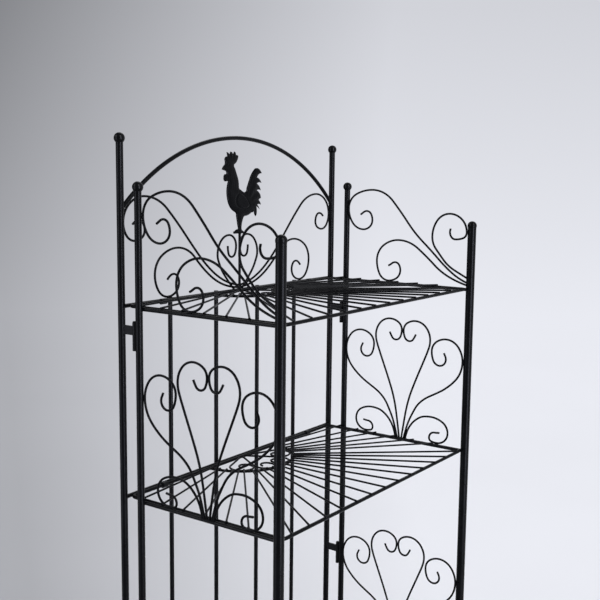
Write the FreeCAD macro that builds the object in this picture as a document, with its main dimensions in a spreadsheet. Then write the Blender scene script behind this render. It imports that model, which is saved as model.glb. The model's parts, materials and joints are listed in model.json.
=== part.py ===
import FreeCAD, Part
import math
import os

import Sketcher
from FreeCAD import Placement, Rotation, Vector

# Folding bakers rack in wire and tube: a back panel with an arched crest and a rooster,
# two side panels on loose-pin hinges, and four wire shelves that turn on the back rails.
# Millimetres. +Z is up, the front faces -Y, the origin is on the floor under the middle.

# ---------------------------------------------------------------- sizes set by themselves
SIZES = (
    # alias, value, meaning
    ("panel_width", 610.0, "back post axis to back post axis"),
    ("panel_depth", 327.0, "back post axis to front post axis"),
    ("side_gap", 40.0, "back post axis to side rear post axis"),
    ("front_post_outset", 3.0, "front post axis outside the rear post axis"),
    ("top_bay", 323.0, "top shelf above the next one"),
    ("lower_bay", 457.0, "shelf to shelf below that"),
    ("lowest_rail_height", 107.0, "axis of the lowest side rail above the floor"),
    ("thin_post_dia", 12.0, "back posts and side rear posts"),
    ("front_post_dia", 16.5, "side front posts"),
    ("tube_wall", 1.0, "wall of every post"),
    ("ball_dia", 18.0, "ball finials"),
    ("stub_length", 14.0, "spigot of a finial or foot inside its post"),
    ("stub_play", 0.1, "radial play of a spigot in its post"),
    ("foot_height", 8.0, "post end above the floor"),
    ("foot_lip", 1.0, "foot radius beyond its post"),
    ("foot_chamfer", 1.2, "lower edge of a foot"),
    ("back_finial_rise", 271.3, "back ball centres above the top shelf"),
    ("rear_finial_rise", 194.0, "side rear ball centres above the top shelf"),
    ("front_finial_rise", 122.6, "side front ball centres above the top shelf"),
    ("back_rail_dia", 7.0, "rails of the back panel"),
    ("side_rail_dia", 6.5, "rails of the side panels"),
    ("side_rail_inset", 5.0, "side rail axis inside the rear post axis"),
    ("back_rod_dia", 8.0, "upright rods of the back panel"),
    ("arch_dia", 7.5, "arch rod"),
    ("arch_spring", 156.0, "arch ends above the top shelf"),
    ("arch_rise", 127.0, "arch crown above its ends"),
    ("scroll_dia", 4.0, "scroll wires of the panels"),
    ("crest_rise", 22.4, "crown of the large crest scrolls above the arch ends"),
    ("top_scroll_height", 188.4, "crown of the large side scroll above the top shelf"),
    ("fan_height", 250.0, "crown of the fan wires above their rail"),
    ("perch_dia", 5.0, "rod that carries the rooster"),
    ("perch_height", 106.4, "top of the perch above the top shelf"),
    ("rooster_thickness", 7.0, "rooster plate"),
    ("rim_dia", 6.0, "rim wire of a shelf"),
    ("rim_corner", 8.0, "bend of the rim wire at its axis"),
    ("front_bar_setback", 3.0, "front bar of a rim behind the front post axis"),
    ("ray_dia", 3.4, "ray wires of a shelf"),
    ("ray_sink", 1.2, "depth to which the rays are let into the rim and the half ring"),
    ("front_ray_pitch", 45.5, "ray to ray along the front bar"),
    ("first_side_ray", 29.0, "first side ray in front of the hinge line"),
    ("side_ray_pitch", 44.5, "ray to ray along a side bar"),
    ("ring_dia", 5.0, "half ring of a shelf"),
    ("ring_radius", 98.0, "half ring at its axis"),
    ("lace_dia", 3.6, "scroll wires inside the half ring"),
    ("eye_wall", 2.0, "strap that holds a shelf on its back rail"),
    ("eye_width", 12.0, "length of that strap along the rail"),
    ("eye_offset", 215.0, "strap centre from the middle of the rack"),
    ("pin_dia", 4.0, "hinge pins"),
    ("pin_head_dia", 6.4, "head of a hinge pin"),
    ("pin_head_height", 1.6, "head of a hinge pin"),
    ("barrel_dia", 8.0, "hinge knuckles and sleeves"),
    ("knuckle_height", 15.0, "knuckle and plate on the back post"),
    ("plate_thickness", 3.0, "hinge plate"),
    ("upper_sleeve", 6.0, "hinge sleeve above the knuckle"),
    ("lower_sleeve", 25.0, "hinge sleeve below the knuckle"),
    ("hinge_spacing", 539.0, "hinge to hinge up a post"),
    ("left_hinge_drop", 23.6, "left barrel top below the top shelf"),
    ("right_hinge_drop", 48.6, "right barrel top below the top shelf"),
    ("weld_gap", 0.1, "between surfaces that a weld bead joins"),
    ("side_clearance", 0.4, "ray ends to the wires of the side panels"),
    ("seat_clearance", 0.3, "shelf to the rails it rests on and turns beside"),
    ("running_gap", 0.05, "radial play of a hinge pin and of a rim in its strap"),
    ("end_gap", 0.3, "play along a hinge pin"),
)
SHELF_COUNT = 4
FAN_LEVELS = SHELF_COUNT - 1
HINGES_PER_SIDE = 3
ROD_COUNT = 4
FRONT_RAYS_EACH_WAY = 6
SIDE_RAYS = 6

doc = FreeCAD.newDocument("BakersRack")
sheet = doc.addObject("Spreadsheet::Sheet", "Sizes")


class Values:
    """The sheet's numbers by alias, for the formulas below."""


S = Values()


def write_rows(rows, first_row):
    for row, (alias, value, meaning) in enumerate(rows, first_row):
        sheet.set(f"A{row}", meaning)
        sheet.set(f"B{row}", repr(float(value)))
        sheet.setAlias(f"B{row}", alias)
        setattr(S, alias, float(value))


def leg(hypotenuse, other):
    return math.sqrt(hypotenuse ** 2 - other ** 2)


write_rows(SIZES, 1)

# ---------------------------------------------------------------- sizes that follow
THIN_R = S.thin_post_dia / 2
FRONT_R = S.front_post_dia / 2
BALL_R = S.ball_dia / 2
HALF_WIDTH = S.panel_width / 2
SIDE_RAIL_R = S.side_rail_dia / 2
BACK_RAIL_R = S.back_rail_dia / 2
SCROLL_R = S.scroll_dia / 2
RIM_R = S.rim_dia / 2
RAY_R = S.ray_dia / 2
RING_R = S.ring_dia / 2
LACE_R = S.lace_dia / 2
BARREL_R = S.barrel_dia / 2

# The side wires lie flush with the rear posts' inner faces. The rim lies beside the side
# rails, and its rays end over them, just clear of the wires.
FRONT_POST_X = HALF_WIDTH + S.front_post_outset
SIDE_RAIL_X = HALF_WIDTH - S.side_rail_inset
SIDE_WIRE_X = HALF_WIDTH - THIN_R + SCROLL_R
RAY_END_X = SIDE_WIRE_X - SCROLL_R - S.side_clearance
RIM_X = SIDE_RAIL_X - SIDE_RAIL_R - S.seat_clearance - RIM_R

# The rods stand behind the back rails and reach furthest back; the front balls or feet
# reach furthest forward. The origin lies midway.
ROD_SETBACK = BACK_RAIL_R + S.weld_gap + S.back_rod_dia / 2
BACK_REACH = max(ROD_SETBACK + S.back_rod_dia / 2, BALL_R, THIN_R + S.foot_lip)
FRONT_REACH = max(BALL_R, FRONT_R + S.foot_lip)
BACK_Y = (S.panel_depth + FRONT_REACH - BACK_REACH) / 2
REAR_Y = BACK_Y - S.side_gap
FRONT_Y = BACK_Y - S.panel_depth
PIN_Y = REAR_Y + THIN_R + BARREL_R + S.weld_gap
PIVOT_Y = BACK_Y - BACK_RAIL_R - RIM_R - S.seat_clearance
SHELF_DEPTH = PIVOT_Y - FRONT_Y - S.front_bar_setback
WALL_WIRE_Y = BACK_Y + SCROLL_R
CREST_HEIGHT = S.arch_spring + S.crest_rise

RAY_RAISE = RIM_R + RAY_R - S.ray_sink
RAY_SEAT = leg(SIDE_RAIL_R + S.seat_clearance, SIDE_RAIL_X - RAY_END_X)
RIM_LIFT = RAY_SEAT + RAY_R - RAY_RAISE
SHELF_Z = S.lowest_rail_height + RIM_LIFT
TOP_Z = SHELF_Z + (SHELF_COUNT - 2) * S.lower_bay + S.top_bay

DERIVED = (
    ("back_y", BACK_Y, "back post axes"),
    ("rear_y", REAR_Y, "side rear post axes"),
    ("front_y", FRONT_Y, "side front post axes"),
    ("pin_y", PIN_Y, "hinge pin axes"),
    ("pivot_y", PIVOT_Y, "axis on which the shelves turn"),
    ("front_post_x", FRONT_POST_X, "side front post axes from the middle"),
    ("side_rail_x", SIDE_RAIL_X, "side rail axes from the middle"),
    ("shelf_z", SHELF_Z, "rim of the lowest shelf above the floor"),
    ("top_z", TOP_Z, "rim of the top shelf above the floor"),
)
write_rows(DERIVED, len(SIZES) + 3)
doc.recompute()

NODES = []


def node(obj, label):
    """Names a finished sub-part; its label is also its file name."""
    obj.Label = label
    NODES.append(obj)
    return obj


def place(obj, x="0", y="0", z="0"):
    """Ties an object's position to formulas in the sheet's sizes."""
    for axis, formula in (("x", x), ("y", y), ("z", z)):
        obj.setExpression(f".Placement.Base.{axis}", formula)
    return obj


def link(source, name, x="0", y="0", z="0"):
    copy = doc.addObject("App::Link", name)
    copy.setLink(source)
    return place(copy, x, y, z)


def group(name, members, x="0", y="0", z="0"):
    gathered = doc.addObject("Part::Compound", name)
    gathered.Links = members
    return place(gathered, x, y, z)


def mirrored(source, name):
    """The other-hand copy across the middle of the rack."""
    other = doc.addObject("Part::Mirroring", name)
    other.Source = source
    other.Base = Vector(0, 0, 0)
    other.Normal = Vector(1, 0, 0)
    return other


def cylinder(name, dia, length, start=Vector(), along=Vector(0, 0, 1)):
    """A round bar whose diameter is a formula; length may be a formula or a number."""
    bar = doc.addObject("Part::Cylinder", name)
    bar.setExpression("Radius", f"({dia}) / 2")
    if isinstance(length, str):
        bar.setExpression("Height", length)
    else:
        bar.Height = length
    bar.Placement = Placement(start, Rotation(Vector(0, 0, 1), along))
    return bar


def cut(name, base, tool):
    remainder = doc.addObject("Part::Cut", name)
    remainder.Base = base
    remainder.Tool = tool
    return remainder


def fuse(name, shapes):
    whole = doc.addObject("Part::MultiFuse", name)
    whole.Shapes = shapes
    return whole


# ---------------------------------------------------------------- bent wire
def heading(degrees):
    angle = math.radians(degrees)
    return math.cos(angle), math.sin(angle)


def turned(vector, angle):
    c, s = math.cos(angle), math.sin(angle)
    return vector[0] * c - vector[1] * s, vector[0] * s + vector[1] * c


def arc_edge(start, direction, end, to_space):
    """A circular arc, or a line, that leaves start along direction and ends at end."""
    chord = (end[0] - start[0], end[1] - start[1])
    across = direction[0] * chord[1] - direction[1] * chord[0]
    along = direction[0] * chord[0] + direction[1] * chord[1]
    sweep = 2 * math.atan2(across, along)
    if abs(sweep) < 1e-4:
        return Part.LineSegment(to_space(*start), to_space(*end)).toShape()
    radius = math.hypot(*chord) / (2 * math.sin(abs(sweep) / 2))
    step = turned(direction, sweep / 4)
    reach = 2 * radius * math.sin(abs(sweep) / 4)
    middle = (start[0] + reach * step[0], start[1] + reach * step[1])
    return Part.Arc(to_space(*start), to_space(*middle), to_space(*end)).toShape()


def bent_path(stops, to_space):
    """Two tangent arcs between each pair of stops (across, up, heading in degrees)."""
    edges = []
    for (a0, b0, h0), (a1, b1, h1) in zip(stops, stops[1:]):
        t0, t1 = heading(h0), heading(h1)
        v = (a1 - a0, b1 - b0)
        straightness = v[0] * (t0[0] + t1[0]) + v[1] * (t0[1] + t1[1])
        opening = 2 * (1 - t0[0] * t1[0] - t0[1] * t1[1])
        square = v[0] ** 2 + v[1] ** 2
        if opening < 1e-9:
            reach = square / (2 * straightness)
        else:
            reach = (math.sqrt(straightness ** 2 + opening * square) - straightness) / opening
        joint = (
            (a0 + a1 + reach * (t0[0] - t1[0])) / 2,
            (b0 + b1 + reach * (t0[1] - t1[1])) / 2,
        )
        edges.append(arc_edge((a0, b0), t0, joint, to_space))
        edges.append(arc_edge((a1, b1), (-t1[0], -t1[1]), joint, to_space))
    return edges


def swept_wire(name, dia, edges, margin="0"):
    """A round wire of the sheet's diameter dia, or one thicker all round by a margin, along
    tangent lines and arcs."""
    path = doc.addObject("Part::Feature", name + "_path")
    path.Shape = Part.Wire(edges)
    first = path.Shape.OrderedEdges[0]
    at_start = first.FirstParameter if first.Orientation == "Forward" else first.LastParameter
    tangent = first.tangentAt(at_start)
    if first.Orientation != "Forward":
        tangent = tangent.negative()
    section = doc.addObject("Part::Circle", name + "_section")
    section.setExpression("Radius", f"{dia} / 2 + {margin}")
    section.Placement = Placement(first.valueAt(at_start), Rotation(Vector(0, 0, 1), tangent))
    wire = doc.addObject("Part::Sweep", name)
    wire.Sections = [section]
    wire.Spine = (path, [f"Edge{i + 1}" for i in range(len(path.Shape.Edges))])
    wire.Solid = True
    wire.Frenet = False
    doc.recompute()
    expected = math.pi * section.Radius.Value ** 2 * path.Shape.Length
    if abs(wire.Shape.Volume / expected - 1) > 0.005:
        raise ValueError(f"{name}: swept volume {wire.Shape.Volume:.0f}, expected {expected:.0f}")
    return wire


def flank(first_radius, second_radius, offset=0.0):
    """Distance at which two round bars just clear, seen where their axes lie offset apart."""
    return leg(first_radius + second_radius + S.weld_gap, offset)


# ---------------------------------------------------------------- posts, finials, feet
def origin_plane(body, role):
    return next(f for f in body.Origin.OriginFeatures if f.Role == role)


def sketch_on(body, name, role):
    sketch = body.newObject("Sketcher::SketchObject", name)
    sketch.AttachmentSupport = [(origin_plane(body, role), "")]
    sketch.MapMode = "FlatFace"
    return sketch


def add_circle(sketch, radius_formula, start_radius):
    circle = sketch.addGeometry(Part.Circle(Vector(), Vector(0, 0, 1), start_radius), False)
    sketch.addConstraint(Sketcher.Constraint("Coincident", circle, 3, -1, 1))
    index = sketch.addConstraint(Sketcher.Constraint("Radius", circle, start_radius))
    sketch.setExpression(f"Constraints[{index}]", radius_formula)


def add_outline(sketch, corners):
    """A closed polygon whose corners are pairs of formulas, solved from a rough circle."""
    count = len(corners)
    rough = [Vector(*turned((20, 0), 2 * math.pi * i / count), 0) for i in range(count)]
    for i in range(count):
        sketch.addGeometry(Part.LineSegment(rough[i], rough[(i + 1) % count]), False)
    for i in range(count):
        sketch.addConstraint(Sketcher.Constraint("Coincident", i, 2, (i + 1) % count, 1))
    for i, formulas in enumerate(corners):
        for kind, formula, now in zip(("DistanceX", "DistanceY"), formulas, rough[i]):
            index = sketch.addConstraint(Sketcher.Constraint(kind, -1, 1, i, 1, now))
            sketch.setExpression(f"Constraints[{index}]", formula)


def post(name, dia, top):
    """A tube from its foot up to the flat of its finial."""
    body = doc.addObject("PartDesign::Body", name)
    profile = sketch_on(body, name + "_section", "XY_Plane")
    add_circle(profile, f"Sizes.{dia} / 2", getattr(S, dia) / 2)
    add_circle(profile, f"Sizes.{dia} / 2 - Sizes.tube_wall", getattr(S, dia) / 2 - S.tube_wall)
    tube = body.newObject("PartDesign::Pad", name + "_tube")
    tube.Profile = profile
    tube.setExpression("Length", f"{top} - Sizes.foot_height")
    return body


def finial(name, dia):
    """A ball cut flat where it sits on its post, with a spigot inside the tube.
    Its own origin is the middle of the flat."""
    ball = doc.addObject("Part::Sphere", name + "_ball")
    ball.setExpression("Radius", "Sizes.ball_dia / 2")
    ball.setExpression("Angle1", f"-acos(Sizes.{dia} / Sizes.ball_dia)")
    place(ball, z=f"sqrt(Sizes.ball_dia ^ 2 - Sizes.{dia} ^ 2) / 2")
    stub_dia = f"Sizes.{dia} - 2 * Sizes.tube_wall - 2 * Sizes.stub_play"
    stub = cylinder(name + "_stub", stub_dia, "Sizes.stub_length * 1.5")
    place(stub, z="-Sizes.stub_length")
    return fuse(name, [ball, stub])


def foot(name, dia):
    """A turned plug: a lip that meets the floor and a spigot inside the post."""
    lip = f"(Sizes.{dia} / 2 + Sizes.foot_lip)"
    stub = f"(Sizes.{dia} / 2 - Sizes.tube_wall - Sizes.stub_play)"
    body = doc.addObject("PartDesign::Body", name)
    profile = sketch_on(body, name + "_profile", "XZ_Plane")
    add_outline(profile, (
        ("0", "0"),
        (f"{lip} - Sizes.foot_chamfer", "0"),
        (lip, "Sizes.foot_chamfer"),
        (lip, "Sizes.foot_height"),
        (stub, "Sizes.foot_height"),
        (stub, "Sizes.foot_height + Sizes.stub_length"),
        ("0", "Sizes.foot_height + Sizes.stub_length"),
    ))
    turning = body.newObject("PartDesign::Revolution", name + "_turning")
    turning.Profile = profile
    turning.ReferenceAxis = (profile, ["V_Axis"])
    turning.Angle = 360
    return body


def seat_height(rise, dia):
    """Height of a post's top: its finial's flat, below the ball's centre."""
    return f"(Sizes.top_z + Sizes.{rise} - sqrt(Sizes.ball_dia ^ 2 - Sizes.{dia} ^ 2) / 2)"


BACK_TOP = seat_height("back_finial_rise", "thin_post_dia")
REAR_TOP = seat_height("rear_finial_rise", "thin_post_dia")
FRONT_TOP = seat_height("front_finial_rise", "front_post_dia")
WIDE = "Sizes.panel_width / 2"

for side, sign in (("left", "-"), ("right", "")):
    upright = post(f"back_post_{side}", "thin_post_dia", BACK_TOP)
    place(upright, sign + WIDE, "Sizes.back_y", "Sizes.foot_height")
    node(upright, f"back_post_{side}")
rear_post = place(post("rear_post", "thin_post_dia", REAR_TOP), "-" + WIDE, "Sizes.rear_y",
                  "Sizes.foot_height")
front_post = place(post("front_post", "front_post_dia", FRONT_TOP), "-Sizes.front_post_x",
                   "Sizes.front_y", "Sizes.foot_height")

thin_finial = finial("thin_finial", "thin_post_dia")
thick_finial = finial("thick_finial", "front_post_dia")
thin_foot = foot("thin_foot", "thin_post_dia")
thick_foot = foot("thick_foot", "front_post_dia")

node(group("back_finials_group", [
    link(thin_finial, "back_finial_left", "-" + WIDE, "Sizes.back_y", BACK_TOP),
    link(thin_finial, "back_finial_right", WIDE, "Sizes.back_y", BACK_TOP),
]), "back_finials")
node(group("back_feet_group", [
    link(thin_foot, "back_foot_left", "-" + WIDE, "Sizes.back_y"),
    link(thin_foot, "back_foot_right", WIDE, "Sizes.back_y"),
]), "back_feet")

# ---------------------------------------------------------------- back panel
GAP_DIA = "2 * Sizes.weld_gap"


def post_cope(name, dia, x, y):
    """The space a post takes, a weld gap larger, for shaping what ends against it."""
    tool = cylinder(name, f"Sizes.{dia} + {GAP_DIA}", "Sizes.top_z * 2")
    return place(tool, x, y, "-Sizes.top_z")


def level(i):
    """Height of shelf i above the lowest shelf, which is shelf 0."""
    if i < SHELF_COUNT - 1:
        return f"Sizes.lower_bay * {i}"
    return f"Sizes.lower_bay * {i - 1} + Sizes.top_bay"


back_copes = fuse("back_copes", [
    post_cope("back_cope_left", "thin_post_dia", "-" + WIDE, "Sizes.back_y"),
    post_cope("back_cope_right", "thin_post_dia", WIDE, "Sizes.back_y"),
])
full_rail = cylinder("back_rail_bar", "Sizes.back_rail_dia", "Sizes.panel_width",
                     along=Vector(1, 0, 0))
place(full_rail, "-" + WIDE, "Sizes.back_y")
back_rail = cut("back_rail", full_rail, back_copes)
node(group("back_rails_group", [
    link(back_rail, f"back_rail_{i + 1}", z=f"Sizes.shelf_z + {level(i)}")
    for i in range(SHELF_COUNT)
]), "back_rails")

rod = cylinder("back_rod", "Sizes.back_rod_dia",
               f"{level(SHELF_COUNT - 1)} + Sizes.back_rail_dia")
rod_y = "Sizes.back_y + Sizes.back_rail_dia / 2 + Sizes.back_rod_dia / 2 + Sizes.weld_gap"
node(group("back_rods_group", [
    link(rod, f"back_rod_{i + 1}",
         f"Sizes.panel_width * ({i + 1} / {ROD_COUNT + 1} - 0.5)", rod_y,
         "Sizes.shelf_z - Sizes.back_rail_dia / 2")
    for i in range(ROD_COUNT)
]), "back_rods")


def on_wall(across, up):
    """The plane of the crest scrolls, with heights from the top back rail's axis."""
    return Vector(across, WALL_WIRE_Y, up)


def behind_wall(across, up):
    """The plane of the inner crest scrolls, one wire further back."""
    return on_wall(across, up) + Vector(0, S.scroll_dia + S.weld_gap, 0)


def on_arch(across, up):
    return Vector(across, BACK_Y, up)


arch_radius = (HALF_WIDTH ** 2 + S.arch_rise ** 2) / (2 * S.arch_rise)
arch_slope = math.degrees(math.asin(HALF_WIDTH / arch_radius))
arch_bow = swept_wire("arch_bow", "Sizes.arch_dia", bent_path((
    (-HALF_WIDTH, S.arch_spring, arch_slope),
    (0, S.arch_spring + S.arch_rise, 0),
    (HALF_WIDTH, S.arch_spring, -arch_slope),
), on_arch))
node(group("arch_group", [cut("arch", arch_bow, back_copes)], z="Sizes.top_z"), "back_arch")

# The perch and the crest scrolls stand on the top back rail.
rail_cope = cylinder("rail_cope", f"Sizes.back_rail_dia + {GAP_DIA}", "Sizes.panel_width",
                     along=Vector(1, 0, 0))
place(rail_cope, "-" + WIDE, "Sizes.back_y")
perch_bar = cylinder("perch_bar", "Sizes.perch_dia", "Sizes.perch_height",
                     on_wall(0, 0))
perch = cut("perch_on_rail", perch_bar, rail_cope)
node(group("perch_group", [perch], z="Sizes.top_z"), "rooster_perch")
perch_cope = cylinder("perch_cope", f"Sizes.perch_dia + {GAP_DIA}", "Sizes.perch_height",
                      on_wall(0, 0))

REST = flank(BACK_RAIL_R, SCROLL_R, SCROLL_R)     # wire lying on the rail
POST_TOUCH = HALF_WIDTH - flank(THIN_R, SCROLL_R, SCROLL_R)
STACK = S.scroll_dia + 2 * S.weld_gap             # wires side by side at their root


def crest(across, up):
    """A point of the crest from shares of the half width and of the crown's height."""
    return across * HALF_WIDTH, up * CREST_HEIGHT


crest_large = (
    (0, REST + STACK, 6),
    (*crest(0.26, 0.235), 37),
    (*crest(0.49, 0.62), 48),
    (*crest(0.82, 1.0), 0),
    (POST_TOUCH, 0.762 * CREST_HEIGHT, -90),
    (*crest(0.89, 0.59), -180),
    (*crest(0.815, 0.684), -270),
    (*crest(0.86, 0.778), -360),
    (*crest(0.905, 0.743), -405),
)
crest_low = (
    (0, REST, 2),
    (*crest(0.27, 0.181), 35),
    (*crest(0.56, 0.497), 0),
    (*crest(0.74, 0.25), -90),
    (0.635 * HALF_WIDTH, REST, -180),
    (*crest(0.545, 0.156), -270),
    (*crest(0.59, 0.245), -360),
    (*crest(0.64, 0.196), -410),
)
crest_inner = (
    (*crest(0.03, 0), 40),
    (*crest(0.123, 0.161), 48),
    (*crest(0.167, 0.266), 62),
    (*crest(0.192, 0.388), 90),
    (*crest(0.086, 0.585), 180),
    (*crest(0.018, 0.467), 270),
    (*crest(0.06, 0.354), 360),
    (*crest(0.097, 0.472), 450),
)
for name, stops, plane in (
    ("large", crest_large, on_wall),
    ("low", crest_low, on_wall),
    ("inner", crest_inner, behind_wall),
):
    whole = swept_wire(f"crest_{name}_wire", "Sizes.scroll_dia", bent_path(stops, plane))
    right_hand = cut(f"crest_{name}_right", whole, perch_cope)
    left_hand = mirrored(right_hand, f"crest_{name}_left")
    pair = group(f"crest_{name}_pair", [left_hand, right_hand], z="Sizes.top_z")
    node(pair, f"crest_scrolls_{name}")

# ---------------------------------------------------------------- rooster
# Outline from the left toe, clockwise. Each corner is (right of the perch axis, above the
# perch, bow): the bow is how far the edge to the next corner swells to its left, as a
# share of its length.
ROOSTER_LEGS = (
    (-15.5, 0.0, 0.5), (-14.0, 4.5, 0.1), (-4.5, 8.0, -0.2), (-4.5, 13.0, 0.0),
    (-9.0, 33.1, -0.2), (-14.0, 40.6, 0.0),
)
ROOSTER_FRONT = (
    (-20.5, 43.8, 0.1), (-35.0, 65.3, 0.09), (-32.5, 97.5, 0.0),
    (-38.5, 97.0, 0.3), (-45.0, 104.0, 0.3), (-38.0, 109.9, -0.3),
)
ROOSTER_HEAD = (
    (-41.0, 116.3, 0.0), (-50.0, 118.5, 0.08), (-42.0, 127.6, -0.1),
    (-42.5, 136.2, 0.25), (-34.5, 142.1, 0.0),
    (-36.5, 150.1, 0.15), (-28.5, 145.3, 0.0), (-26.0, 151.2, 0.2), (-18.5, 145.8, 0.0),
    (-15.0, 151.8, 0.2), (-10.0, 145.6, 0.1), (-3.5, 144.2, 0.1),
    (-6.0, 136.2, 0.1), (-14.5, 128.7, -0.25),
)
ROOSTER_BACK = (
    (-13.0, 121.7, 0.0), (-4.5, 104.0, 0.05), (-1.5, 87.8, -0.2), (4.0, 81.9, -0.05),
    (14.0, 77.1, -0.25), (22.0, 84.6, 0.0), (33.0, 107.2, 0.05), (47.0, 121.7, 0.2),
)
ROOSTER_TAIL = (
    (67.0, 112.6, -0.15), (53.0, 105.0, 0.12), (66.5, 94.3, -0.12), (52.5, 93.2, 0.12),
    (64.5, 80.3, -0.12), (52.5, 80.3, 0.15), (65.0, 65.3, -0.1), (58.5, 62.1, 0.1),
    (65.0, 52.9, -0.12), (54.0, 52.9, 0.08), (61.0, 44.4, -0.1), (51.0, 49.7, 0.15),
    (49.0, 31.0, 0.1), (44.5, 41.1, 0.1),
)
ROOSTER_UNDER = (
    (36.0, 38.4, 0.05), (20.0, 32.5, -0.2), (10.5, 26.0, -0.05), (6.5, 12.0, -0.1),
    (8.0, 6.0, 0.1), (15.5, 0.0, 0.0),
)


def bowed_edge(start, end, bow):
    chord = (end[0] - start[0], end[1] - start[1])
    if not bow:
        return Part.LineSegment(on_perch(*start), on_perch(*end)).toShape()
    middle = (
        (start[0] + end[0]) / 2 - bow * chord[1],
        (start[1] + end[1]) / 2 + bow * chord[0],
    )
    return Part.Arc(on_perch(*start), on_perch(*middle), on_perch(*end)).toShape()


def on_perch(across, up):
    return Vector(across, 0, up)


rooster_corners = (ROOSTER_LEGS + ROOSTER_FRONT + ROOSTER_HEAD + ROOSTER_BACK
                   + ROOSTER_TAIL + ROOSTER_UNDER)
rooster_edges = [
    bowed_edge(corner[:2], rooster_corners[(i + 1) % len(rooster_corners)][:2], corner[2])
    for i, corner in enumerate(rooster_corners)
]
rooster_outline = doc.addObject("Part::Feature", "rooster_outline")
rooster_outline.Shape = Part.Wire(rooster_edges)
rooster_plate = doc.addObject("Part::Extrusion", "rooster_plate")
rooster_plate.Base = rooster_outline
rooster_plate.Dir = Vector(0, 1, 0)
rooster_plate.DirMode = "Custom"
rooster_plate.Solid = True
rooster_plate.setExpression("LengthFwd", "Sizes.rooster_thickness")
place(rooster_plate, y="Sizes.back_y - Sizes.seat_clearance",
      z="Sizes.top_z + Sizes.perch_height")
node(rooster_plate, "rooster")

# ---------------------------------------------------------------- side panels
panel_copes = fuse("panel_copes", [
    post_cope("rear_cope", "thin_post_dia", "-" + WIDE, "Sizes.rear_y"),
    post_cope("front_cope", "front_post_dia", "-Sizes.front_post_x", "Sizes.front_y"),
])
REAR_BITE = "sqrt((Sizes.thin_post_dia / 2 + Sizes.weld_gap) ^ 2 - Sizes.side_rail_inset ^ 2)"
FRONT_BITE = ("sqrt((Sizes.front_post_dia / 2 + Sizes.weld_gap) ^ 2"
              " - (Sizes.front_post_x - Sizes.side_rail_x) ^ 2)")
full_side_rail = cylinder(
    "side_rail_bar", "Sizes.side_rail_dia",
    f"Sizes.panel_depth - Sizes.side_gap - {REAR_BITE} - {FRONT_BITE}", along=Vector(0, 1, 0),
)
place(full_side_rail, "-Sizes.side_rail_x", f"Sizes.front_y + {FRONT_BITE}")
side_rail = cut("side_rail", full_side_rail, panel_copes)
side_rail_cope = cylinder("side_rail_cope", f"Sizes.side_rail_dia + {GAP_DIA}",
                          "Sizes.panel_depth", along=Vector(0, 1, 0))
place(side_rail_cope, "-Sizes.side_rail_x", "Sizes.front_y")

PANEL_SPAN = REAR_Y - FRONT_Y
REAR_TOUCH = REAR_Y - flank(THIN_R, SCROLL_R, HALF_WIDTH - SIDE_WIRE_X)
FRONT_TOUCH = FRONT_Y + flank(FRONT_R, SCROLL_R, FRONT_POST_X - SIDE_WIRE_X)
RAIL_TOUCH = flank(SIDE_RAIL_R, SCROLL_R, SIDE_RAIL_X - SIDE_WIRE_X)
FAN_REACH = (REAR_TOUCH - FRONT_TOUCH) / 2
FAN_MIDDLE_Y = (REAR_TOUCH + FRONT_TOUCH) / 2


def on_fan(across, up):
    """The plane of the side wires; across runs to the rear from the fan's middle."""
    return Vector(-SIDE_WIRE_X, FAN_MIDDLE_Y + across, up)


def fan(across, up):
    """A point of a fan from shares of its half width and its height."""
    return across * FAN_REACH, up * S.fan_height


fan_waist = fan(0.467, 0.853)
fan_inner = (
    (0.55 * STACK, 0, 82),
    (*fan(0.19, 0.441), 69),
    (*fan(0.41, 0.735), 68),
    (*fan_waist, 90),
    (*fan(0.217, 1.0), 180),
    (0.5 * STACK, 0.914 * S.fan_height, 270),
    (*fan(0.118, 0.829), 360),
    (*fan(0.224, 0.889), 425),
)
fan_outer = (
    (1.65 * STACK, 0, 75),
    (*fan(0.171, 0.2), 64),
    (*fan(0.334, 0.339), 43),
    (*fan(0.641, 0.445), 30),
    (FAN_REACH, 0.711 * S.fan_height, 90),
    (*fan(0.732, 0.879), 180),
    (fan_waist[0] + STACK, 0.771 * S.fan_height, 270),
    (*fan(0.63, 0.659), 360),
    (*fan(0.732, 0.715), 450),
    (*fan(0.698, 0.767), 475),
)
fan_low = (
    (2.75 * STACK, 0, 82),
    (*fan(0.17, 0.128), 56),
    (*fan(0.322, 0.206), 30),
    (*fan(0.516, 0.229), 0),
    (*fan(0.797, 0.114), -90),
    (0.618 * FAN_REACH, RAIL_TOUCH, -180),
    (*fan(0.493, 0.056), -270),
    (*fan(0.577, 0.104), -360),
    (*fan(0.66, 0.108), -357),
)


def fan_mirror(source, name):
    """The other half of a fan, across its own middle."""
    other = doc.addObject("Part::Mirroring", name)
    other.Source = source
    other.Base = Vector(0, FAN_MIDDLE_Y, 0)
    other.Normal = Vector(0, 1, 0)
    return other


fan_wires = []
for name, stops in (("inner", fan_inner), ("outer", fan_outer), ("low", fan_low)):
    whole = swept_wire(f"fan_{name}_wire", "Sizes.scroll_dia", bent_path(stops, on_fan))
    rear_half = cut(f"fan_{name}_rear", whole, side_rail_cope)
    fan_wires += [rear_half, fan_mirror(rear_half, f"fan_{name}_front")]


def on_side(across, up):
    """The plane of the side wires; across is measured forward from the rear post."""
    return Vector(-SIDE_WIRE_X, REAR_Y - across, up)


def top_scroll(across, up):
    """A point of the top scrolls from shares of the panel's span and their height."""
    return across * PANEL_SPAN, up * S.top_scroll_height


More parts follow.
